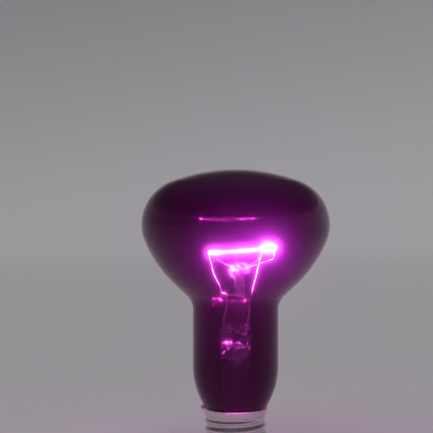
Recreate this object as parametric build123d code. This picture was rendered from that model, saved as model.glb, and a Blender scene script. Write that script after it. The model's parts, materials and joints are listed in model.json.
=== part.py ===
"""A purple glass night heat bulb for a reptile tank: mushroom head, long neck and Edison screw cap.

The bulb stands as it does in an upright lampholder, on +Z, with its axis on Z.
The origin is the tip of the centre contact, the lowest point of the lamp.
Inside the blown glass stands the mount: a pinched glass stem, a glass rod melted to
a button, hooked supports, a filament bent round them, two lead-in wires and a mica
disc that shades the neck. Lengths are millimetres and angles are degrees.
"""

from build123d import *
import math
import os

# Blown glass
head_diameter = 80.0
neck_diameter = 36.4
glass_wall = 0.7
neck_length = 23.7
neck_fillet_radius = 8.0
flank_angle = 47.0
flank_radius = 54.0
bulge_angle = 22.0
bulge_radius = 16.5
shoulder_radius = 20.0
dome_edge_angle = 20.5
taper_radius = 33.0
throat_fillet_radius = 3.0
throat_length = 5.5

# Screw cap
thread_diameter = 26.3
thread_depth = 1.05
thread_pitch = 3.629
thread_turns = 4
thread_stations_per_turn = 12
runout_turns = 0.5
cap_sheet = 0.3
cap_lip_width = 0.6
cap_lip_bend = 1.65
skirt_length = 3.5
skirt_step_radius = 1.0
skirt_step_angle = 50.0
skirt_flare_radius = 3.0
skirt_flare_angle = 30.0
throat_clearance = 0.8
cement_recess = 0.12
cement_height = 2.8

# Black glass insulator, contact plate and solder
contact_diameter = 10.4
contact_thickness = 0.5
eyelet_bore = 2.0
eyelet_wall = 0.4
eyelet_length = 2.2
insulator_height = 5.1
insulator_rim = 0.6
insulator_hollow = 0.5
insulator_flange_height = 2.5
insulator_flange_clearance = 0.15
insulator_bowl_wall = 2.0
insulator_bowl_depth = 2.2
insulator_edge_radius = 0.4
solder_height = 0.9
solder_tip_diameter = 3.4
solder_bulge = 0.9
rim_solder_diameter = 2.2

# Glass stem
seal_depth = 9.2
stem_tube_diameter = 13.0
stem_tube_wall = 0.95
stem_length = 44.8
pinch_height = 10.0
pinch_thickness = 5.2
pinch_bend_radius = 4.5
pinch_edge_radius = 0.5
exhaust_tube_diameter = 4.0
exhaust_tube_bore = 2.4
exhaust_hole_diameter = 2.2
exhaust_hole_rise = 3.2
exhaust_tube_overhang = 6.0
exhaust_tip_wall = 1.6

# Glass rod with its button
rod_diameter = 4.8
rod_offset = 1.6
button_drop = 8.5
button_flare_radius = 1.2
button_flare_angle = 60.0
button_bead_radius = 3.4
button_crown_angle = 15.0

# Filament
filament_drop = 10.4
filament_offset = 3.1
filament_ring_diameter = 29.4
filament_coil_diameter = 0.9
filament_bend_radius = 2.5
filament_tilt = 5.0
filament_start_angle = 180.0
filament_sweep_angle = 231.5
support_count = 5

# Wires
support_wire_diameter = 0.3
support_embedded = 1.6
support_exit_rise = 0.6
support_reach_rise = 4.7
support_bend_radius = 0.9
hook_clearance = 0.03
hook_turn = 290.0
lead_diameter = 0.8
lead_bend_radius = 0.55
lead_spacing = 10.0
lead_embedded = 2.3
left_lead_straight = 3.0
left_lead_lean_height = 3.5
left_lead_jog = 2.4
left_lead_shoulder_width = 0.3
left_lead_shoulder_height = 2.6
left_lead_knee_inset = 2.0
left_lead_knee_drop = 9.0
right_lead_straight = 1.2
right_lead_lean_height = 2.2
right_lead_jog = 1.3
right_lead_rise = 1.4
clamp_length = 1.9
clamp_width = 1.3
clamp_height = 1.5
clamp_edge_radius = 0.25
seal_wire_diameter = 0.4
outer_wire_diameter = 0.3
outer_wire_bend_radius = 0.8
outer_wire_rim_bend_radius = 0.25
outer_wire_clearance = 0.05
side_wire_seal_gap = 0.45
side_wire_lean_start = 1.0
side_wire_lean_end = 1.3
centre_wire_gather_start = 3.0
centre_wire_gather_end = 2.4
fuse_diameter = 0.16
fuse_length = 12.0
fuse_drop = 9.0

# Mica disc
mica_diameter = 17.2
mica_thickness = 0.3
mica_rise = 6.2
mica_rod_clearance = 0.05
mica_lead_clearance = 0.05
mica_lead_pitch = 11.0


def sin(angle):
    return math.sin(math.radians(angle))


def cos(angle):
    return math.cos(math.radians(angle))


# Radii and heights worked out from the sizes above
head_radius = head_diameter / 2
neck_radius = neck_diameter / 2
thread_mid_radius = (thread_diameter - thread_depth) / 2
throat_radius = thread_diameter / 2 - thread_depth - cap_sheet - throat_clearance
taper_angle = math.degrees(
    math.acos(1 - (neck_radius - throat_radius) / (taper_radius + throat_fillet_radius))
)
flank_top_radius = (
    head_radius
    - bulge_radius * (1 - cos(bulge_angle))
    - flank_radius * (cos(bulge_angle) - cos(flank_angle))
)
flank_foot_radius = neck_radius + neck_fillet_radius * (1 - cos(flank_angle))
flank_length = (flank_top_radius - flank_foot_radius) / sin(flank_angle)
dome_edge_radius = head_radius - shoulder_radius * (1 - sin(dome_edge_angle))
dome_radius = dome_edge_radius / sin(dome_edge_angle)

contact_face = solder_height
contact_top = contact_face + contact_thickness
lip_bottom = contact_top + insulator_height
thread_bottom = lip_bottom + cap_lip_bend
thread_top = thread_bottom + thread_turns * thread_pitch
cap_rim = thread_top + skirt_length
cap_rim_top = cap_rim + cap_sheet * sin(skirt_flare_angle)
seal_height = cap_rim - seal_depth
neck_top = (
    seal_height
    + throat_length
    + (throat_fillet_radius + taper_radius) * sin(taper_angle)
    + neck_length
)
equator_height = (
    neck_top
    + neck_fillet_radius * sin(flank_angle)
    + flank_length * cos(flank_angle)
    + flank_radius * (sin(flank_angle) - sin(bulge_angle))
    + bulge_radius * sin(bulge_angle)
)

stem_radius = stem_tube_diameter / 2
pinch_top = seal_height + stem_length
pinch_bottom = pinch_top - pinch_height
pinch_angle = math.degrees(
    math.acos(1 - (stem_radius - pinch_thickness / 2) / (2 * pinch_bend_radius))
)
stem_ceiling = pinch_bottom - 2 * pinch_bend_radius * sin(pinch_angle)

filament_height = equator_height - filament_drop
filament_ring_radius = filament_ring_diameter / 2
button_height = filament_height - button_drop
hook_radius = (filament_coil_diameter + support_wire_diameter) / 2 + hook_clearance

mica_bottom = neck_top + mica_rise
mica_top = mica_bottom + mica_thickness
seal_wire_top = pinch_top - lead_embedded
exhaust_tip = seal_height - exhaust_tube_overhang
fuse_top = stem_ceiling - fuse_drop
fuse_bottom = fuse_top - fuse_length


def tangent_path(start, heading, moves):
    """Edges that leave start at a heading and stay tangent. A move is (length,) or (radius, turn)."""
    point = Vector(*start)
    direction = Vector(cos(heading), sin(heading))
    edges = []
    for move in moves:
        if len(move) == 1:
            edge = Line(point, point + direction * move[0])
        else:
            edge = JernArc(point, direction, *move)
        edges.append(edge)
        point = edge @ 1
        direction = edge % 1
    return edges


def inset_moves(moves, inset):
    """The same path, inset to its left: left turns tighten and right turns open."""
    return [
        move if len(move) == 1 else (move[0] - inset * math.copysign(1, move[1]), move[1])
        for move in moves
    ]


def wall_section(start, heading, moves, wall):
    """A strip of even thickness whose outer edge is the path, as a closed face."""
    left = Vector(-sin(heading), cos(heading)) * wall
    outer = tangent_path(start, heading, moves)
    inner = tangent_path(Vector(*start) + left, heading, inset_moves(moves, wall))
    ends = [Line(outer[0] @ 0, inner[0] @ 0), Line(outer[-1] @ 1, inner[-1] @ 1)]
    return make_face([*outer, *inner, *ends])


def turned(section):
    """A section drawn as radius and height, turned about the upright axis."""
    return revolve(Plane.XZ * section, axis=Axis.Z, revolution_arc=360)


def turned_to_axis(side):
    """The solid between the upright axis and a side line of joined edges."""
    foot = side[0] @ 0
    head = side[-1] @ 1
    corners = [head, Vector(0, head.Y), Vector(0, foot.Y), foot]
    closing = [Line(a, b) for a, b in zip(corners, corners[1:]) if (b - a).length > 1e-6]
    return turned(make_face([*side, *closing]))


def disc(radius, bottom, top, centre=(0.0, 0.0)):
    """A plain upright cylinder between two heights."""
    return Pos(*centre, (bottom + top) / 2) * Cylinder(radius, top - bottom)


def wire_along(path, diameter):
    """A round wire swept along a path."""
    start = Plane(origin=path @ 0, z_dir=path % 0)
    return sweep(start * Circle(diameter / 2), path=path)


def bent_wire(points, diameter, radius):
    """A round wire through points, with every corner bent to the same radius."""
    return wire_along(FilletPolyline(*points, radius=radius), diameter)


# Blown glass envelope

envelope_moves = [
    (throat_length,),
    (throat_fillet_radius, -taper_angle),
    (taper_radius, taper_angle),
    (neck_length,),
    (neck_fillet_radius, -flank_angle),
    (flank_length,),
    (flank_radius, flank_angle - bulge_angle),
    (bulge_radius, bulge_angle),
    (shoulder_radius, 90 - dome_edge_angle),
    (dome_radius, dome_edge_angle),
]


def glass_envelope():
    """The blown bulb, open at the throat where the stem is sealed to it."""
    return turned(wall_section((throat_radius, seal_height), 90, envelope_moves, glass_wall))


def glass_body():
    """The bulb with its hollow filled, to cut what is packed round it."""
    return turned_to_axis(tangent_path((throat_radius, seal_height), 90, envelope_moves))


# Screw cap

skirt_straight = (
    skirt_length
    - 2 * skirt_step_radius * sin(skirt_step_angle)
    - skirt_flare_radius * sin(skirt_flare_angle)
)
skirt_moves = [
    (skirt_step_radius, -skirt_step_angle),
    (skirt_step_radius, skirt_step_angle),
    (skirt_straight,),
    (skirt_flare_radius, -skirt_flare_angle),
]
skirt_radius = thread_mid_radius + 2 * skirt_step_radius * (1 - cos(skirt_step_angle))
rim_radius = skirt_radius + skirt_flare_radius * (1 - cos(skirt_flare_angle))
lip_radius = thread_mid_radius - cap_lip_bend - cap_lip_width


def knuckle_screw(radius):
    """A rolled round thread: a circle whose centre runs round the axis once in each pitch."""
    count = round(thread_turns * thread_stations_per_turn)
    sections = []
    for i in range(count + 1):
        turns = thread_turns * i / count
        to_end = min(turns, thread_turns - turns, runout_turns) / runout_turns
        swing = thread_depth / 2 * (1 - math.cos(math.pi * to_end)) / 2
        centre = (swing * cos(360 * turns), swing * sin(360 * turns))
        sections.append(Pos(*centre, thread_bottom + turns * thread_pitch) * Circle(radius))
    return loft(sections)


def cap_skirt():
    """The plain top of the screw shell, stepped out and flared at its rim."""
    return turned(wall_section((thread_mid_radius, thread_top), 90, skirt_moves, cap_sheet))


def cap_shell():
    """The sheet-metal screw shell: in-turned lip, rolled thread and flared skirt."""
    screw = knuckle_screw(thread_mid_radius) - knuckle_screw(thread_mid_radius - cap_sheet)
    lip_moves = [(cap_lip_width,), (cap_lip_bend, 90)]
    lip = turned(wall_section((lip_radius, lip_bottom), 0, lip_moves, cap_sheet))
    return screw + lip + cap_skirt()


def skirt_inside():
    """The space inside the cap's skirt, as a solid."""
    start = (thread_mid_radius - cap_sheet, thread_top)
    return turned_to_axis(tangent_path(start, 90, inset_moves(skirt_moves, cap_sheet)))


def basing_cement():
    """The ring of cement between the skirt and the glass, with a way for the side wire."""
    top = cap_rim - cement_recess
    ring = skirt_inside() & disc(rim_radius, top - cement_height, top)
    return ring - glass_body() - side_wire()


def cap_insulator():
    """The black glass foot: hollowed cone below the lip, flange above it, bowl and hole."""
    hole = eyelet_bore / 2 + eyelet_wall
    lip_top = lip_bottom + cap_sheet
    flange_radius = thread_diameter / 2 - thread_depth - cap_sheet - insulator_flange_clearance
    flange_top = lip_top + insulator_flange_height
    bowl_radius = flange_radius - insulator_bowl_wall
    bowl_floor = flange_top - insulator_bowl_depth
    cone_foot = Vector(contact_diameter / 2 + insulator_rim, contact_top)
    cone_top = Vector(lip_radius, lip_bottom)
    hollow = (cone_top - cone_foot).rotate(Axis.Z, 90).normalized() * insulator_hollow
    cone = ThreePointArc(cone_foot, (cone_foot + cone_top) / 2 + hollow, cone_top)
    above_lip = Polyline(
        cone_top,
        (lip_radius, lip_top),
        (lip_radius + cap_lip_width / 2, lip_top),
        (flange_radius, lip_top + cap_lip_bend / 2),
        (flange_radius, flange_top),
        (bowl_radius, flange_top),
        (bowl_radius, bowl_floor),
        (hole, bowl_floor),
        (hole, contact_top),
        cone_foot,
    )
    glass = turned(make_face([cone, *above_lip.edges()]))
    flange_edges = glass.edges().filter_by_position(Axis.Z, flange_top, flange_top)
    return fillet(flange_edges, insulator_edge_radius)


def centre_contact():
    """The brass plate with its eyelet, which takes the centre wire."""
    plate = disc(contact_diameter / 2, contact_face, contact_top)
    eyelet = disc(eyelet_bore / 2 + eyelet_wall, contact_top, contact_top + eyelet_length)
    bore = disc(eyelet_bore / 2, contact_face, contact_top + eyelet_length)
    return plate + eyelet - bore


def centre_solder():
    """The flattened drop of solder on the plate, run up into the eyelet round the wire."""
    tip = solder_tip_diameter / 2
    foot = Line((0, 0), (tip, 0))
    side = TangentArc((tip, 0), (tip + solder_bulge, contact_face), tangent=(1, 0))
    drop = turned_to_axis([foot, side])
    plug = disc(eyelet_bore / 2, contact_face, contact_top)
    return drop + plug - lower_centre_wire()


def rim_solder():
    """The spot of solder that holds the side wire on the cap's rim."""
    ball = Pos(-rim_radius, 0, cap_rim) * Rot(0, 0, 90) * Sphere(rim_solder_diameter / 2)
    return ball - glass_body() - cap_skirt() - basing_cement() - side_wire()


# Glass stem and rod

def stem_tube():
    """The stem's tube, flared at its foot to meet the bulb's throat."""
    flare_radius = throat_radius - glass_wall - stem_radius
    moves = [
        (stem_ceiling - seal_height - flare_radius,),
        (flare_radius, 90),
        (glass_wall,),
    ]
    return turned(wall_section((stem_radius, stem_ceiling), 270, moves, -stem_tube_wall))


def stem_pinch():
    """The tube's top, pressed flat between two jaws."""
    moves = [
        (pinch_bend_radius, pinch_angle),
        (pinch_bend_radius, -pinch_angle),
        (pinch_height,),
    ]
    side = tangent_path((stem_radius, stem_ceiling), 90, moves)
    closing = Polyline(side[-1] @ 1, (0, pinch_top), (0, stem_ceiling), side[0] @ 0)
    half = make_face([*side, *closing.edges()])
    pressed = extrude(Plane.YZ * (half + mirror(half, Plane.YZ)), stem_radius, both=True)
    pressed &= disc(stem_radius, stem_ceiling, pinch_top)
    return fillet(pressed.faces().sort_by(Axis.Z)[-1].edges(), pinch_edge_radius)


def glass_stem():
    """The flared and pinched tube, with its exhaust hole and the wires' ways through it."""
    hole_top = stem_ceiling + exhaust_hole_rise
    hole_up = disc(exhaust_tube_bore / 2, stem_ceiling, hole_top)
    hole_out = Rot(90, 0, 0) * Cylinder(exhaust_hole_diameter / 2, stem_radius)
    glass = stem_tube() + stem_pinch() - hole_up - Pos(0, stem_radius / 2, hole_top) * hole_out
    for x in (-lead_spacing / 2, lead_spacing / 2):
        glass -= disc(lead_diameter / 2, seal_wire_top, pinch_top, (x, 0))
        glass -= disc(seal_wire_diameter / 2, pinch_bottom, seal_wire_top, (x, 0))
        glass -= disc(outer_wire_diameter / 2, stem_ceiling, pinch_bottom, (x, 0))
    return glass


def exhaust_tube():
    """The tube the bulb was pumped through, fused to the stem's ceiling and tipped off."""
    radius = exhaust_tube_diameter / 2
    moves = [(stem_ceiling - exhaust_tip - radius,), (radius, -90)]
    tube = turned_to_axis(tangent_path((radius, stem_ceiling), 270, moves))
    return tube - disc(exhaust_tube_bore / 2, exhaust_tip + exhaust_tip_wall, stem_ceiling)


def button_rod():
    """The glass rod on the pinch, melted at its top to a button that holds the supports."""
    radius = rod_diameter / 2
    shoulder = (button_flare_radius + button_bead_radius) * sin(button_flare_angle)
    moves = [
        (button_height - shoulder - pinch_top,),
        (button_flare_radius, -button_flare_angle),
        (button_bead_radius, button_flare_angle + 90 - button_crown_angle),
    ]
    side = tangent_path((radius, pinch_top), 90, moves)
    edge = side[-1] @ 1
    crown = (edge.X / sin(button_crown_angle), button_crown_angle)
    side += tangent_path(edge, 180 - button_crown_angle, [crown])
    glass = Pos(rod_offset, 0, 0) * turned_to_axis(side)
    for i in range(support_count):
        glass -= support_wire(i)
    return glass


# Filament and its supports

def filament_angle(share):
    """The direction of a point that lies this share of the way round the filament."""
    return filament_start_angle + share * filament_sweep_angle


def filament_point(share, radius=filament_ring_radius):
    """A point of the tilted ring that the filament is bent round."""
    angle = filament_angle(share)
    across = radius * cos(angle)
    return Vector(
        filament_offset + across,
        radius * sin(angle),
        filament_height + across * math.tan(math.radians(filament_tilt)),
    )


def filament_path():
    """Straight runs from clamp to hook to clamp, each bend passing through its hook."""
    half_turn = filament_sweep_angle / (support_count + 1) / 2
    corner = filament_ring_radius + filament_bend_radius * (1 / cos(half_turn) - 1)
    shares = [i / (support_count + 1) for i in range(support_count + 2)]
    points = [filament_point(s, corner) for s in shares]
    points[0] = filament_point(0)
    points[-1] = filament_point(1)
    return FilletPolyline(*points, radius=filament_bend_radius)


def filament():
    """The tungsten coil, as a bent rod of the coil's outside diameter."""
    return wire_along(filament_path(), filament_coil_diameter)


def support_wire(index):
    """A hooked wire: out of the button, up beside the filament and round it."""
    hook = filament_point((index + 1) / (support_count + 1))
    reach = Vector(hook.X - rod_offset, hook.Y, 0)
    button_radius = (
        rod_diameter / 2
        + button_flare_radius * (1 - cos(button_flare_angle))
        + button_bead_radius * (1 - cos(button_flare_angle))
    )
    rise = reach.length - hook_radius
    upright = Plane(
        origin=(rod_offset, 0, 0), x_dir=reach, z_dir=reach.cross(Vector(0, 0, 1))
    )
    exit_height = button_height + support_exit_rise
    run = FilletPolyline(
        (button_radius - support_embedded, exit_height),
        (rise, button_height + support_reach_rise),
        (rise, hook.Z),
        radius=support_bend_radius,
    )
    loop = JernArc((rise, hook.Z), (0, 1), hook_radius, -hook_turn)
    return wire_along(upright * Wire([*run.edges(), loop]), support_wire_diameter)


# Lead-in wires

def clamp_at(share, inward):
    """The end of a lead, hammered flat and folded over the filament's end."""
    path = filament_path()
    along = (path % share) * inward
    middle = path @ share + along * (clamp_length / 2 - clamp_edge_radius)
    block = Box(clamp_length, clamp_width, clamp_height)
    return Plane(origin=middle, x_dir=along) * fillet(block.edges(), clamp_edge_radius)


def lead_wire_left():
    """The left lead, whose jog lies on top of the mica disc."""
    foot = -lead_spacing / 2
    hole = rod_offset - mica_lead_pitch / 2
    lean = pinch_top + left_lead_straight
    jog = mica_top + lead_diameter / 2 + mica_lead_clearance
    shoulder = hole - left_lead_jog - left_lead_shoulder_width
    top = filament_point(0)
    points = [
        (foot, 0, seal_wire_top),
        (foot, 0, lean),
        (hole, 0, lean + left_lead_lean_height),
        (hole, 0, jog),
        (hole - left_lead_jog, 0, jog),
        (shoulder, 0, jog + left_lead_shoulder_height),
        (top.X + left_lead_knee_inset, top.Y, top.Z - left_lead_knee_drop),
        top,
    ]
    return bent_wire(points, lead_diameter, lead_bend_radius) + clamp_at(0, 1) - filament()


def lead_wire_right():
    """The right lead, whose jog carries the mica disc from below."""
    foot = lead_spacing / 2
    hole = rod_offset + mica_lead_pitch / 2
    lean = pinch_top + right_lead_straight
    jog = mica_bottom - lead_diameter / 2 - mica_lead_clearance
    points = [
        (foot, 0, seal_wire_top),
        (foot, 0, lean),
        (hole - right_lead_jog, 0, lean + right_lead_lean_height),
        (hole - right_lead_jog, 0, jog),
        (hole, 0, jog),
        (hole, 0, mica_top + right_lead_rise),
        filament_point(1),
    ]
    return bent_wire(points, lead_diameter, lead_bend_radius) + clamp_at(1, -1) - filament()


def seal_wire(side):
    """One of the short copper-clad wires that the pinched glass grips gas-tight."""
    place = (side * lead_spacing / 2, 0)
    return disc(seal_wire_diameter / 2, pinch_bottom, seal_wire_top, place)


def side_wire():
    """The outer wire of the left lead: down the stem, round the seal and up to the rim."""
    radius = outer_wire_diameter / 2
    under_seal = seal_height - stem_tube_wall - side_wire_seal_gap
    beside_seal = throat_radius + throat_clearance / 2
    beside_skirt = skirt_radius - cap_sheet - radius - 2 * outer_wire_clearance
    inside_rim = rim_radius - cap_sheet * cos(skirt_flare_angle)
    beside_rim = inside_rim - radius - outer_wire_clearance
    over_rim = cap_rim_top + radius + outer_wire_clearance
    points = [
        (-lead_spacing / 2, 0, pinch_bottom),
        (-lead_spacing / 2, 0, under_seal),
        (-beside_seal, 0, under_seal),
        (-beside_seal, 0, thread_top - side_wire_lean_start),
        (-beside_skirt, 0, cap_rim - side_wire_lean_end),
        (-beside_rim, 0, over_rim),
        (-rim_radius - radius, 0, over_rim),
    ]
    radii = [outer_wire_bend_radius] * 4 + [outer_wire_rim_bend_radius]
    return bent_wire(points, outer_wire_diameter, radii)


def upper_centre_wire():
    """The outer wire of the right lead, from the seal down to the fuse."""
    return disc(outer_wire_diameter / 2, fuse_top, pinch_bottom, (lead_spacing / 2, 0))


def fuse_link():
    """The thin stretch of wire that melts if the filament arcs."""
    return disc(fuse_diameter / 2, fuse_bottom, fuse_top, (lead_spacing / 2, 0))


def lower_centre_wire():
    """The wire from the fuse down past the exhaust tip and through the eyelet."""
    points = [
        (lead_spacing / 2, 0, fuse_bottom),
        (lead_spacing / 2, 0, exhaust_tip + centre_wire_gather_start),
        (0, 0, exhaust_tip - centre_wire_gather_end),
        (0, 0, solder_height / 2),
    ]
    return bent_wire(points, outer_wire_diameter, outer_wire_bend_radius)


def mica_disc():
    """The disc that keeps the filament's heat out of the neck, with its three holes."""
    plate = disc(mica_diameter / 2, mica_bottom, mica_top, (rod_offset, 0))
    rod_hole = rod_diameter / 2 + mica_rod_clearance
    plate -= disc(rod_hole, mica_bottom, mica_top, (rod_offset, 0))
    lead_hole = lead_diameter / 2 + mica_lead_clearance
    for side in (-1, 1):
        x = rod_offset + side * mica_lead_pitch / 2
        plate -= disc(lead_hole, mica_bottom, mica_top, (x, 0))
    return plate


pieces = {
    "glass_envelope": glass_envelope(),
    "glass_stem": glass_stem(),
    "exhaust_tube": exhaust_tube(),
    "button_rod": button_rod(),
    "filament": filament(),
    "lead_wire_left": lead_wire_left(),
    "lead_wire_right": lead_wire_right(),
    "seal_wire_left": seal_wire(-1),
    "seal_wire_right": seal_wire(1),
    "side_wire": side_wire(),
    "centre_wire_upper": upper_centre_wire(),
    "fuse_link": fuse_link(),
    "centre_wire_lower": lower_centre_wire(),
    "mica_disc": mica_disc(),
    "cap_shell": cap_shell(),
    "cap_insulator": cap_insulator(),
    "centre_contact": centre_contact(),
    "centre_solder": centre_solder(),
    "rim_solder": rim_solder(),
    "basing_cement": basing_cement(),
}
for i in range(support_count):
    pieces[f"support_wire_{i + 1}"] = support_wire(i)

os.makedirs("parts", exist_ok=True)
for name, piece in pieces.items():
    export_step(piece, f"parts/{name}.step")
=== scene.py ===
"""Looks of a purple night heat bulb: blown glass, lit coil, wires, mica, stem and screw cap.

Metres throughout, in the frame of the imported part: +Z up the axis, -Y towards the viewer.
"""

import json
import math

import bpy
from mathutils import Matrix, Vector


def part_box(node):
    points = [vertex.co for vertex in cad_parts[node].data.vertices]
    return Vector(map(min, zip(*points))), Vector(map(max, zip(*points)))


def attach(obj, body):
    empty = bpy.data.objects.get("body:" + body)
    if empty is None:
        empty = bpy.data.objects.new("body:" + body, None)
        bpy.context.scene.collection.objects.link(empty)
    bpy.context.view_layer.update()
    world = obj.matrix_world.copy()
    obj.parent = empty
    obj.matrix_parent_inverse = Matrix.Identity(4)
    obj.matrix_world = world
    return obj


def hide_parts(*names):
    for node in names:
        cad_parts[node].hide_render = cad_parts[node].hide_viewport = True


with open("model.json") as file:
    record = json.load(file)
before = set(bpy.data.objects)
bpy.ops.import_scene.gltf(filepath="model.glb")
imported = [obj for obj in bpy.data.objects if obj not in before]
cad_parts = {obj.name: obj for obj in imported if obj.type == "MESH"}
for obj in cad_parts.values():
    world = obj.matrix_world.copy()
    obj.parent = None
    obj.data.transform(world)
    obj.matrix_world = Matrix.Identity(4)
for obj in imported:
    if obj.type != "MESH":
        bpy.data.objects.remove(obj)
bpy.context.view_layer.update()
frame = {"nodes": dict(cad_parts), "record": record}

MM = 0.001
nodes = frame["nodes"]


# Shader maths and nodes

class Socket:
    """An output socket that shader maths is written on."""

    def __init__(self, look, output):
        self.look = look
        self.output = output

    def __add__(self, other):
        return self.look.maths("ADD", self, other)

    def __sub__(self, other):
        return self.look.maths("SUBTRACT", self, other)

    def __rsub__(self, other):
        return self.look.maths("SUBTRACT", other, self)

    def __mul__(self, other):
        return self.look.maths("MULTIPLY", self, other)

    __radd__ = __add__
    __rmul__ = __mul__


class Look:
    """A material being built, with its one Principled shader."""

    def __init__(self, name, **constants):
        self.material = bpy.data.materials.new(name)
        self.material.use_nodes = True
        self.tree = self.material.node_tree
        self.shader = self.tree.nodes["Principled BSDF"]
        self.set(**constants)
        self.place = None

    def link(self, socket, value):
        """Put a number, a colour or another node's output into an input socket."""
        if isinstance(value, Socket):
            self.tree.links.new(value.output, socket)
        else:
            socket.default_value = value

    def set(self, **inputs):
        """Fill inputs of the Principled shader, named with _ for each space."""
        for name, value in inputs.items():
            self.link(self.shader.inputs[name.replace("_", " ")], value)

    def node(self, kind, settings=(), inputs=(), output=0):
        """A node of a kind with its settings and inputs, as the chosen output."""
        made = self.tree.nodes.new(kind)
        for name, value in dict(settings).items():
            setattr(made, name, value)
        for name, value in dict(inputs).items():
            self.link(made.inputs[name], value)
        return Socket(self, made.outputs[output])

    def maths(self, operation, first, second):
        """A sum on two numbers or sockets."""
        return self.node("ShaderNodeMath", {"operation": operation}, {0: first, 1: second})

    def position(self):
        """The piece's own coordinates, in metres."""
        if self.place is None:
            self.place = self.node("ShaderNodeTexCoord", output="Object")
        return self.place

    def stretched(self, scale):
        """The piece's own coordinates, scaled on each axis."""
        return self.node("ShaderNodeMapping", inputs={"Vector": self.position(), "Scale": scale})

    def axis(self, letter):
        """One of the piece's own coordinates."""
        return self.node("ShaderNodeSeparateXYZ", inputs={"Vector": self.position()}, output=letter)

    def noise(self, scale, detail=3.0, roughness=0.5, place=None):
        """Cloudy noise from 0 to 1, with scale patches to the metre."""
        inputs = {
            "Vector": place or self.position(),
            "Scale": scale,
            "Detail": detail,
            "Roughness": roughness,
        }
        return self.node("ShaderNodeTexNoise", inputs=inputs, output="Fac")

    def band(self, value, low, high, out_low=0.0, out_high=1.0, smooth=True):
        """A value remapped and clamped from one range to another."""
        kind = "SMOOTHSTEP" if smooth else "LINEAR"
        inputs = {
            "Value": value,
            "From Min": low,
            "From Max": high,
            "To Min": out_low,
            "To Max": out_high,
        }
        return self.node("ShaderNodeMapRange", {"interpolation_type": kind}, inputs)

    def blend(self, share, first, second):
        """A colour between two colours."""
        inputs = {0: share, 6: first, 7: second}
        return self.node("ShaderNodeMix", {"data_type": "RGBA"}, inputs, output=2)

    def bump(self, height, strength, distance):
        """Relief on the surface, from a height of 0 to 1 over a distance."""
        inputs = {"Height": height, "Strength": strength, "Distance": distance}
        self.set(Normal=self.node("ShaderNodeBump", inputs=inputs, output="Normal"))

    def let_lamps_through(self, tint):
        """Let a lamp's light through each surface with a tint, where glass would shade it."""
        clear = self.node("ShaderNodeBsdfTransparent", inputs={"Color": tint})
        shadow = self.node("ShaderNodeLightPath", output="Is Shadow Ray")
        shader = Socket(self, self.shader.outputs[0])
        mixed = self.node("ShaderNodeMixShader", inputs={0: shadow, 1: shader, 2: clear})
        self.link(self.tree.nodes["Material Output"].inputs["Surface"], mixed)


# Materials. Colours are linear light, heights are above the cap's foot

PURPLE_WALL = (0.20, 0.020, 0.155, 1.0)
THROAT_WALL = (0.12, 0.008, 0.085, 1.0)
PURPLE_REFLECTION = (1.0, 0.28, 0.75, 1.0)
THICK_HEIGHT = 20 * MM
THIN_HEIGHT = 58 * MM
PURPLE_LAMP_SHARE = 0.6

LEAD_GLASS_IOR = 1.56
CLEAR_WALL = (0.93, 0.94, 0.96, 1.0)
CLEAR_LAMP_TINT = (0.95, 0.95, 0.96, 1.0)
WHITE = (1.0, 1.0, 1.0, 1.0)
JAW_ROWS = ((48.3 * MM, 56.3 * MM), (56.0 * MM, 62.7 * MM))
JAW_EDGE = 2.2 * MM
JAW_WANDER = 9 * MM
BUBBLE_ROUGHNESS = 0.35
CLOUDY_DARK = (0.07, 0.05, 0.07, 1)
CLOUDY_PALE = (0.8, 0.8, 0.8, 1)
MELTED_RELIEF = 3.0 * MM

COIL_LIGHT = (0.92, 0.72, 1.0, 1.0)
COIL_STRENGTH = 20000.0


def purple_glass():
    """Deep purple blown glass, faintly wavy, and thicker and deeper towards the throat."""
    look = Look(
        "purple_glass",
        Roughness=0.0,
        IOR=1.5,
        Transmission_Weight=1.0,
        Specular_Tint=PURPLE_REFLECTION,
    )
    thinness = look.band(look.axis("Z"), THICK_HEIGHT, THIN_HEIGHT)
    streaks = look.noise(14.0, detail=1.0, place=look.stretched((1, 1, 0.4)))
    look.set(Base_Color=look.blend(thinness * (0.8 + 0.4 * streaks), THROAT_WALL, PURPLE_WALL))
    look.bump(look.noise(22.0, detail=1.0), 0.02, 0.4 * MM)
    surface_tint = [PURPLE_LAMP_SHARE * math.sqrt(share) for share in PURPLE_WALL[:3]]
    look.let_lamps_through((*surface_tint, 1.0))
    return look.material


def clear_glass():
    """Lead glass of the stem, rod and exhaust tube.

    The two jaws that squeezed the pinch left rows of silvery bubbles in it.
    """
    look = Look("clear_glass", IOR=LEAD_GLASS_IOR, Transmission_Weight=0.99)
    height = look.axis("Z") + JAW_WANDER * (look.noise(190.0, detail=0.0) - 0.5)
    rows = 0.0
    for low, high in JAW_ROWS:
        above = look.band(height, low, low + JAW_EDGE)
        rows = rows + above * look.band(height, high - JAW_EDGE, high, 1.0, 0.0)
    ripple = look.noise(300.0, detail=1.0)
    specks = look.noise(480.0, detail=1.5, roughness=0.6)
    bubbles = look.band(rows * specks, 0.52, 0.56)
    look.set(Base_Color=look.blend(bubbles, CLEAR_WALL, WHITE), Metallic=bubbles)
    look.set(Roughness=look.band(ripple, 0.3, 0.7, 0.01, 0.05) + BUBBLE_ROUGHNESS * bubbles)
    domes = look.band(rows * specks, 0.47, 0.67, smooth=False)
    look.bump(0.1 * ripple + 0.7 * domes, 1.0, MELTED_RELIEF)
    look.let_lamps_through(CLEAR_LAMP_TINT)
    return look.material


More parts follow.
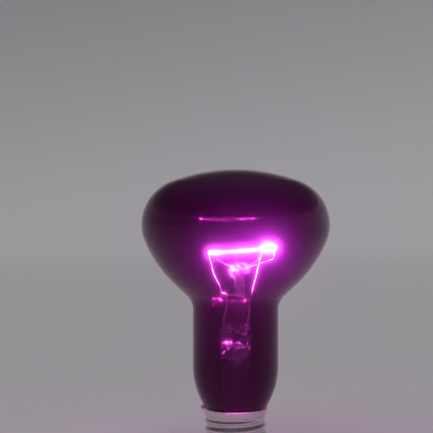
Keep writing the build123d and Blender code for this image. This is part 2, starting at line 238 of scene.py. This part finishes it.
def button_glass():
    """The rod's glass, melted cloudy round the wires in its button."""
    look = Look("button_glass", IOR=LEAD_GLASS_IOR, Transmission_Weight=0.85)
    swirl = look.noise(260.0, detail=2.0, place=look.stretched((1, 1, 1.8)))
    clouds = look.band(swirl, 0.45, 0.6)
    look.set(Base_Color=look.blend(clouds, CLOUDY_DARK, CLOUDY_PALE))
    look.set(Roughness=look.band(swirl, 0.35, 0.65, 0.05, 0.2))
    look.bump(swirl + 0.3 * look.noise(700.0, detail=1.0), 1.0, MELTED_RELIEF)
    look.let_lamps_through(CLEAR_LAMP_TINT)
    return look.material


def lit_tungsten():
    """White-hot coil."""
    look = Look("lit_tungsten", Base_Color=(0.5, 0.48, 0.5, 1.0), Roughness=0.5)
    look.set(Emission_Color=COIL_LIGHT, Emission_Strength=COIL_STRENGTH)
    return look.material


def drawn_wire(name, dark, light, roughness):
    """Drawn metal wire with faint die marks and oxide."""
    look = Look(name, Metallic=1.0)
    patches = look.noise(420.0, detail=4.0)
    look.set(Base_Color=look.blend(look.band(patches, 0.35, 0.7), dark, light))
    look.set(Roughness=look.band(patches, 0.3, 0.7, roughness, roughness + 0.2))
    look.bump(look.noise(1500.0, place=look.stretched((1, 1, 0.1))), 0.25, 0.03 * MM)
    return look.material


def mica():
    """Split mica sheet: clear amber-brown, glossy and flaky."""
    look = Look("mica", IOR=1.58, Transmission_Weight=0.98)
    flakes = look.noise(260.0, detail=5.0, roughness=0.7)
    look.set(Base_Color=look.blend(flakes, (0.30, 0.22, 0.13, 1), (0.55, 0.46, 0.33, 1)))
    look.set(Roughness=look.band(flakes, 0.3, 0.7, 0.05, 0.25))
    look.bump(flakes, 0.4, 0.05 * MM)
    return look.material


def cap_metal():
    """Nickel-bright rolled sheet, clouded and scratched round the thread."""
    look = Look("cap_metal", Metallic=1.0)
    cloud = look.noise(160.0, detail=5.0)
    scratches = look.noise(900.0, detail=2.0, place=look.stretched((1, 1, 12)))
    look.set(Base_Color=look.blend(cloud, (0.60, 0.59, 0.57, 1), (0.80, 0.79, 0.76, 1)))
    look.set(Roughness=look.band(cloud * 0.6 + scratches * 0.4, 0.3, 0.7, 0.22, 0.42))
    look.bump(scratches, 0.15, 0.03 * MM)
    return look.material


def black_glass():
    """Black glass pressed into the cap."""
    look = Look("black_glass", Base_Color=(0.012, 0.011, 0.013, 1), Coat_Weight=0.4)
    look.set(Roughness=look.band(look.noise(300.0), 0.3, 0.7, 0.08, 0.22))
    look.bump(look.noise(220.0, detail=2.0), 0.25, 0.15 * MM)
    return look.material


def brass_plate():
    """Stamped brass with faint tarnish."""
    look = Look("brass_plate", Metallic=1.0)
    stain = look.noise(350.0, detail=4.0)
    look.set(Base_Color=look.blend(stain, (0.52, 0.36, 0.13, 1), (0.78, 0.58, 0.26, 1)))
    look.set(Roughness=look.band(stain, 0.3, 0.7, 0.25, 0.45))
    look.bump(stain, 0.1, 0.05 * MM)
    return look.material


def solder():
    """Dull tin solder, frosted as it froze."""
    look = Look("solder", Metallic=1.0)
    frost = look.noise(700.0, detail=4.0)
    look.set(Base_Color=look.blend(frost, (0.42, 0.43, 0.44, 1), (0.66, 0.67, 0.68, 1)))
    look.set(Roughness=look.band(frost, 0.3, 0.7, 0.25, 0.55))
    look.bump(look.noise(450.0, detail=2.0), 0.4, 0.08 * MM)
    return look.material


def cement():
    """Baked basing cement, grainy and matt."""
    look = Look("cement")
    grain = look.noise(1400.0, detail=5.0, roughness=0.7)
    look.set(Base_Color=look.blend(grain, (0.30, 0.24, 0.17, 1), (0.52, 0.46, 0.36, 1)))
    look.set(Roughness=look.band(grain, 0.3, 0.7, 0.75, 0.95))
    look.bump(grain, 0.7, 0.12 * MM)
    return look.material


materials = {
    "purple_glass": purple_glass(),
    "clear_glass": clear_glass(),
    "button_glass": button_glass(),
    "lit_tungsten": lit_tungsten(),
    "nickel_wire": drawn_wire("nickel_wire", (0.46, 0.44, 0.42, 1), (0.68, 0.66, 0.63, 1), 0.25),
    "support_metal": drawn_wire("support_metal", (0.40, 0.39, 0.40, 1), (0.62, 0.61, 0.62, 1), 0.3),
    "copper_clad": drawn_wire("copper_clad", (0.36, 0.08, 0.04, 1), (0.62, 0.20, 0.10, 1), 0.3),
    "copper_wire": drawn_wire("copper_wire", (0.50, 0.22, 0.10, 1), (0.74, 0.40, 0.22, 1), 0.28),
    "mica": mica(),
    "cap_metal": cap_metal(),
    "black_glass": black_glass(),
    "brass_plate": brass_plate(),
    "solder": solder(),
    "cement": cement(),
}

slot_of = {part["node"]: part["material_slot"] for part in frame["record"]["subparts"]}
for name, node in nodes.items():
    node.data.materials[0] = materials[slot_of[name]]


# Glass rod with its melted button

BUTTON_HEIGHT = 7.5 * MM
MERGE_GAP = 0.002 * MM
VOXEL = 0.2 * MM
FOLDS = ((3.5 * MM, 0.5 * MM), (1.2 * MM, 0.2 * MM))
UNMOVED_LEVEL = 0.6


def merged_copy(node, name):
    """A copy of a CAD node's mesh with its loose triangles joined up."""
    piece = nodes[node].copy()
    piece.data = nodes[node].data.copy()
    piece.name = name
    piece.parent = None
    piece.matrix_world = Matrix.Identity(4)
    bpy.context.scene.collection.objects.link(piece)
    bpy.ops.object.select_all(action="DESELECT")
    bpy.context.view_layer.objects.active = piece
    piece.select_set(True)
    bpy.ops.object.mode_set(mode="EDIT")
    bpy.ops.mesh.select_all(action="SELECT")
    bpy.ops.mesh.remove_doubles(threshold=MERGE_GAP)
    bpy.ops.mesh.normals_make_consistent(inside=False)
    bpy.ops.mesh.select_all(action="DESELECT")
    bpy.ops.object.mode_set(mode="OBJECT")
    return piece


def melted_rod():
    """The rod, drawn uneven by the flame, and its button folded round the wires."""
    rod = merged_copy("button_rod", "melted_rod")
    remesh = rod.modifiers.new("remesh", "REMESH")
    remesh.mode = "VOXEL"
    remesh.voxel_size = VOXEL
    bpy.ops.object.modifier_apply(modifier="remesh")
    for size, strength in FOLDS:
        folds = bpy.data.textures.new("folds", "CLOUDS")
        folds.noise_scale = size
        folds.noise_depth = 0
        melt = rod.modifiers.new("melt", "DISPLACE")
        melt.texture = folds
        melt.texture_coords = "LOCAL"
        melt.strength = strength
        melt.mid_level = UNMOVED_LEVEL
        bpy.ops.object.modifier_apply(modifier="melt")
        bpy.data.textures.remove(folds)
    bpy.ops.object.shade_smooth()
    rod.data.materials.clear()
    rod.data.materials.append(materials["clear_glass"])
    rod.data.materials.append(materials["button_glass"])
    button_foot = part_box("button_rod")[1].z - BUTTON_HEIGHT
    for face in rod.data.polygons:
        face.material_index = int(face.center.z > button_foot)
    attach(rod, "root")
    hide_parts("button_rod")


melted_rod()


# Tungsten coil

COIL_RADIUS = 0.45 * MM
COIL_PITCH = 0.34 * MM
TUNGSTEN_RADIUS = 0.1 * MM
TUNGSTEN_SIDES = 6
STEPS_IN_TURN = 12
RING_RADIUS = 14.7 * MM
BEND_RADIUS = 2.5 * MM
COIL_OFFSET = 3.1 * MM
COIL_START = math.radians(180)
COIL_SWEEP = math.radians(231.5)
COIL_TILT = math.radians(5)
COIL_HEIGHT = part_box("filament")[0].z + COIL_RADIUS + RING_RADIUS * math.tan(COIL_TILT)
HOOKS = sum(name.startswith("support_wire") for name in nodes)
STRAIGHT_PULL = 0.2


def ring_point(angle, radius):
    """A point of the tilted ring that the coil is bent round."""
    across = radius * math.cos(angle)
    height = COIL_HEIGHT + across * math.tan(COIL_TILT)
    return Vector((COIL_OFFSET + across, radius * math.sin(angle), height))


def bezier_point(place, before, after):
    """A place on the coil's line with the handles before and after it."""
    return {"co": place, "handle_left": before, "handle_right": after}


def coil_line():
    """The line the coil follows: straight runs with a round bend at each hook."""
    step = COIL_SWEEP / (HOOKS + 1)
    corner_radius = RING_RADIUS + BEND_RADIUS * (1 / math.cos(step / 2) - 1)
    radii = [RING_RADIUS] + [corner_radius] * HOOKS + [RING_RADIUS]
    corners = [ring_point(COIL_START + i * step, r) for i, r in enumerate(radii)]
    first, second = corners[:2]
    last, last_but_one = corners[-1], corners[-2]
    places = [bezier_point(first, first, first.lerp(second, STRAIGHT_PULL))]
    for before, corner, after in zip(corners, corners[1:], corners[2:]):
        to_before = (before - corner).normalized()
        to_after = (after - corner).normalized()
        turn = math.pi - to_before.angle(to_after)
        setback = BEND_RADIUS * math.tan(turn / 2)
        pull = BEND_RADIUS * 4 / 3 * math.tan(turn / 4)
        entry = corner + setback * to_before
        leave = corner + setback * to_after
        places.append(bezier_point(entry, entry + pull * to_before, entry - pull * to_before))
        places.append(bezier_point(leave, leave - pull * to_after, leave + pull * to_after))
    places.append(bezier_point(last, last.lerp(last_but_one, STRAIGHT_PULL), last))

    bpy.ops.object.select_all(action="DESELECT")
    bpy.ops.curve.primitive_bezier_curve_add()
    line = bpy.context.object
    spline = line.data.splines[0]
    spline.bezier_points.add(len(places) - len(spline.bezier_points))
    for point, place in zip(spline.bezier_points, places):
        point.handle_left_type = point.handle_right_type = "FREE"
        for name, value in place.items():
            setattr(point, name, value)
    line.data.resolution_u = 16
    line.data.twist_mode = "Z_UP"
    return line


def wound_filament():
    """Fine tungsten wire wound into a coil and bent round the hooks."""
    line = coil_line()
    length = line.data.splines[0].calc_length()
    turns = round(length / COIL_PITCH)
    bpy.ops.object.select_all(action="DESELECT")
    bpy.ops.mesh.primitive_circle_add(
        vertices=TUNGSTEN_SIDES,
        radius=TUNGSTEN_RADIUS,
        location=(0, COIL_RADIUS - TUNGSTEN_RADIUS, 0),
        rotation=(0, math.pi / 2, 0),
        fill_type="NOTHING",
    )
    coil = bpy.context.object
    coil.name = "wound_filament"
    bpy.ops.object.transform_apply(location=True, rotation=True, scale=True)
    bpy.ops.object.mode_set(mode="EDIT")
    bpy.ops.mesh.select_all(action="SELECT")
    bpy.ops.transform.rotate(value=math.pi / 2, orient_axis="Z", center_override=(0, 0, 0))
    bpy.ops.object.mode_set(mode="OBJECT")
    winding = coil.modifiers.new("winding", "SCREW")
    winding.axis = "X"
    winding.screw_offset = length / turns
    winding.iterations = turns
    winding.steps = winding.render_steps = STEPS_IN_TURN
    winding.use_smooth_shade = True
    bpy.ops.object.modifier_apply(modifier="winding")
    bending = coil.modifiers.new("bending", "CURVE")
    bending.object = line
    bending.deform_axis = "POS_X"
    bpy.ops.object.modifier_apply(modifier="bending")
    bpy.data.objects.remove(line)
    bpy.ops.object.mode_set(mode="EDIT")
    bpy.ops.mesh.select_all(action="SELECT")
    bpy.ops.mesh.normals_make_consistent(inside=False)
    bpy.ops.mesh.select_all(action="DESELECT")
    bpy.ops.object.mode_set(mode="OBJECT")
    coil.data.materials.clear()
    coil.data.materials.append(materials["lit_tungsten"])
    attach(coil, "root")
    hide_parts("filament")


wound_filament()


# Stage and light

FLOOR_RADIUS = 3.5
FLOOR_SIDES = 96
RIM_HEIGHT = 1.3
RIM_SWEEP = 1.2
SWEEP_SEGMENTS = 24
SHARP_CORNER = math.radians(45)
PALE_PAPER = (0.72, 0.71, 0.73, 1)
SKY_COLOUR = (0.97, 0.95, 1.0, 1)
HORIZON_LEVEL = 0.24
OVERHEAD_LEVEL = 0.11
LEVELS_BETWEEN = ((0.33, 0.12), (0.52, 0.05))
LAMP_SPREAD = math.radians(70)
LAMP_ENERGY = 1.1
LAMP_DIRECTION = (-0.25, -0.25, 0.94)


def floor():
    """A wide pale floor whose rim sweeps up all round into a low wall."""
    bpy.ops.object.select_all(action="DESELECT")
    bpy.ops.mesh.primitive_circle_add(
        vertices=FLOOR_SIDES, radius=FLOOR_RADIUS, fill_type="NGON"
    )
    sheet = bpy.context.object
    sheet.name = "studio_sheet"
    bpy.ops.object.mode_set(mode="EDIT")
    bpy.ops.mesh.select_mode(type="EDGE")
    bpy.ops.mesh.select_all(action="SELECT")
    bpy.ops.mesh.extrude_edges_move(TRANSFORM_OT_translate={"value": (0, 0, RIM_HEIGHT)})
    bpy.ops.object.mode_set(mode="OBJECT")
    bevel = sheet.modifiers.new("sweep", "BEVEL")
    bevel.width = RIM_SWEEP
    bevel.segments = SWEEP_SEGMENTS
    bevel.limit_method = "ANGLE"
    bevel.angle_limit = SHARP_CORNER
    bpy.ops.object.modifier_apply(modifier="sweep")
    bpy.ops.object.mode_set(mode="EDIT")
    bpy.ops.mesh.select_all(action="SELECT")
    bpy.ops.mesh.normals_make_consistent(inside=True)
    bpy.ops.object.mode_set(mode="OBJECT")
    bpy.ops.object.shade_smooth()
    paper = Look("studio_paper", Base_Color=PALE_PAPER, Roughness=0.7)
    sheet.data.materials.append(paper.material)


def soft_light():
    """A soft sky: pale at the horizon, dim above it, lighter again overhead."""
    world = bpy.data.worlds.new("studio")
    world.use_nodes = True
    tree = world.node_tree
    background = tree.nodes["Background"]
    towards = tree.nodes.new("ShaderNodeTexCoord")
    parts = tree.nodes.new("ShaderNodeSeparateXYZ")
    fade = tree.nodes.new("ShaderNodeValToRGB")
    fade.color_ramp.interpolation = "EASE"
    stops = fade.color_ramp.elements
    stops[0].color = (HORIZON_LEVEL, HORIZON_LEVEL, HORIZON_LEVEL, 1)
    stops[1].color = (OVERHEAD_LEVEL, OVERHEAD_LEVEL, OVERHEAD_LEVEL, 1)
    for place, level in LEVELS_BETWEEN:
        stops.new(place).color = (level, level, level, 1)
    tree.links.new(towards.outputs["Generated"], parts.inputs["Vector"])
    tree.links.new(parts.outputs["Z"], fade.inputs["Fac"])
    tree.links.new(fade.outputs["Color"], background.inputs["Strength"])
    background.inputs["Color"].default_value = SKY_COLOUR
    bpy.context.scene.world = world


def overhead_lamp():
    """A very broad lamp high in front, which lights the sheet evenly.

    Its own image is kept out of the glass and the metal.
    """
    data = bpy.data.lights.new("overhead_lamp", "SUN")
    data.angle = LAMP_SPREAD
    data.energy = LAMP_ENERGY
    lamp = bpy.data.objects.new("overhead_lamp", data)
    lamp.rotation_euler = Vector(LAMP_DIRECTION).to_track_quat("Z", "Y").to_euler()
    lamp.visible_glossy = False
    lamp.visible_transmission = False
    bpy.context.scene.collection.objects.link(lamp)


floor()
soft_light()
overhead_lamp()


# Camera, and its glow round the coil

FRAME_PIXELS = 433
FOCAL_PIXELS = 972
SENSOR = 36.0
CAMERA_PLACE = (-8.1 * MM, -413.6 * MM, 107.2 * MM)
VIOLET = (0.85, 0.5, 1.0, 1.0)
PALE_PINK = (1.0, 0.95, 1.0, 1.0)
BRIGHTEST = 1200.0
BLOOMS = ((0.5, 0.8, VIOLET), (0.08, 0.7, VIOLET), (0.03, 1.7, PALE_PINK))


def bloom():
    """The lens's glow round the white-hot coil: wide and violet, then narrow and white."""
    scene = bpy.context.scene
    scene.use_nodes = True
    tree = scene.node_tree
    tree.nodes.clear()
    layers = tree.nodes.new("CompositorNodeRLayers")
    image = layers.outputs["Image"]
    for size, strength, tint in BLOOMS:
        glare = tree.nodes.new("CompositorNodeGlare")
        glare.glare_type = "BLOOM"
        glare.quality = "HIGH"
        glare.inputs["Threshold"].default_value = 1.0
        glare.inputs["Clamp"].default_value = True
        glare.inputs["Maximum"].default_value = BRIGHTEST
        glare.inputs["Strength"].default_value = strength
        glare.inputs["Size"].default_value = size
        glare.inputs["Tint"].default_value = tint
        tree.links.new(image, glare.inputs["Image"])
        image = glare.outputs["Image"]
    output = tree.nodes.new("CompositorNodeComposite")
    tree.links.new(image, output.inputs["Image"])


def light_paths():
    """Keep the coil's reflections in the glass bright, without stray bright dots."""
    scene = bpy.context.scene
    scene.view_settings.view_transform = "Standard"
    scene.cycles.sample_clamp_indirect = 600
    scene.cycles.caustics_refractive = False
    scene.cycles.use_adaptive_sampling = False


def front_camera():
    """The camera level in front of the bulb."""
    data = bpy.data.cameras.new("camera")
    data.sensor_width = SENSOR
    data.lens = FOCAL_PIXELS / FRAME_PIXELS * SENSOR
    camera = bpy.data.objects.new("camera", data)
    camera.location = CAMERA_PLACE
    camera.rotation_euler = (math.pi / 2, 0, 0)
    bpy.context.scene.collection.objects.link(camera)
    bpy.context.scene.camera = camera


bloom()
light_paths()
front_camera()
